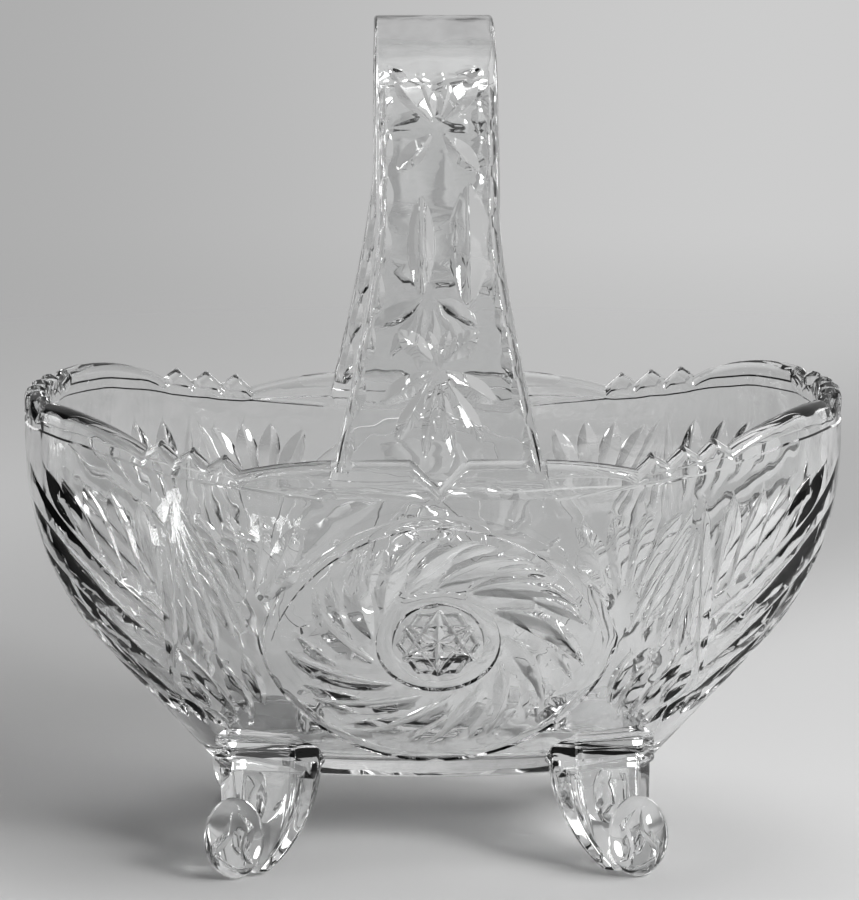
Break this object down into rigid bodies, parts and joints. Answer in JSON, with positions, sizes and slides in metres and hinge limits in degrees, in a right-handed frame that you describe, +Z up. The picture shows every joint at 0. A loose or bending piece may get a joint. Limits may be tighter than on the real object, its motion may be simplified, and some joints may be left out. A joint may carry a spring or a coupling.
{
  "type": "glass basket",
  "caption": "Oval footed basket of clear pressed glass with whirling blade medallions, a toothed rim and a fixed arched handle.",
  "frame": {"origin": "centre of the basket on the plane that its feet stand on", "axes": "+Z up, +X along the long side of the bowl, +Y across it; the handle arches over the bowl from -Y to +Y"},
  "size_m": [0.2, 0.1244, 0.205],
  "materials": {
    "glass": "clear pressed glass, fire polished"
  },
  "bodies": {
    "root": {"glass_basket": "glass"}
  },
  "joints": []
}
